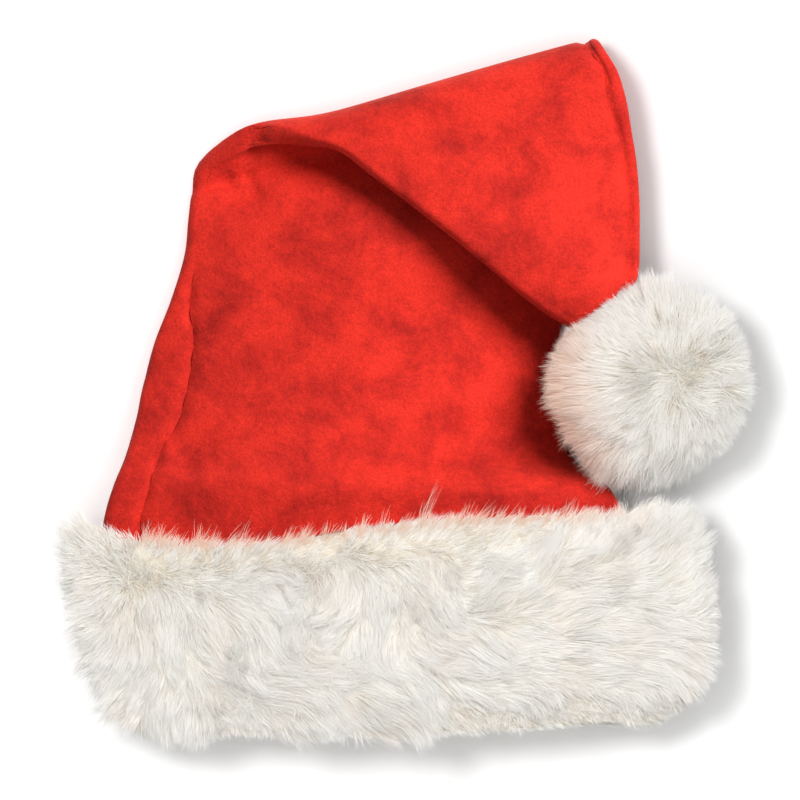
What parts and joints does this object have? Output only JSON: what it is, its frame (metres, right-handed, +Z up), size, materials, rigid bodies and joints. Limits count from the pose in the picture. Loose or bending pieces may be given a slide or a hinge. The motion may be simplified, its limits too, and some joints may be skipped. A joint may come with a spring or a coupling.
{
  "type": "santa hat",
  "caption": "Plush santa hat lying flat with its pointed tip folded over to the right, a deep fur cuff round the hem and a fur pompom on the tip.",
  "frame": {"origin": "middle of the fur cuff's flat underside, on the surface that the hat lies on", "axes": "+X towards the side that the tip hangs to, +Y from the cuff towards the fold, +Z up from the surface"},
  "size_m": [0.3468, 0.3499, 0.087],
  "materials": {
    "red_velour": "short plush pile",
    "white_fur": "long soft fur"
  },
  "bodies": {
    "root": {"crown_front_panel": "red_velour", "crown_back_panel": "red_velour", "fur_cuff": "white_fur", "pompom": "white_fur"}
  },
  "joints": []
}
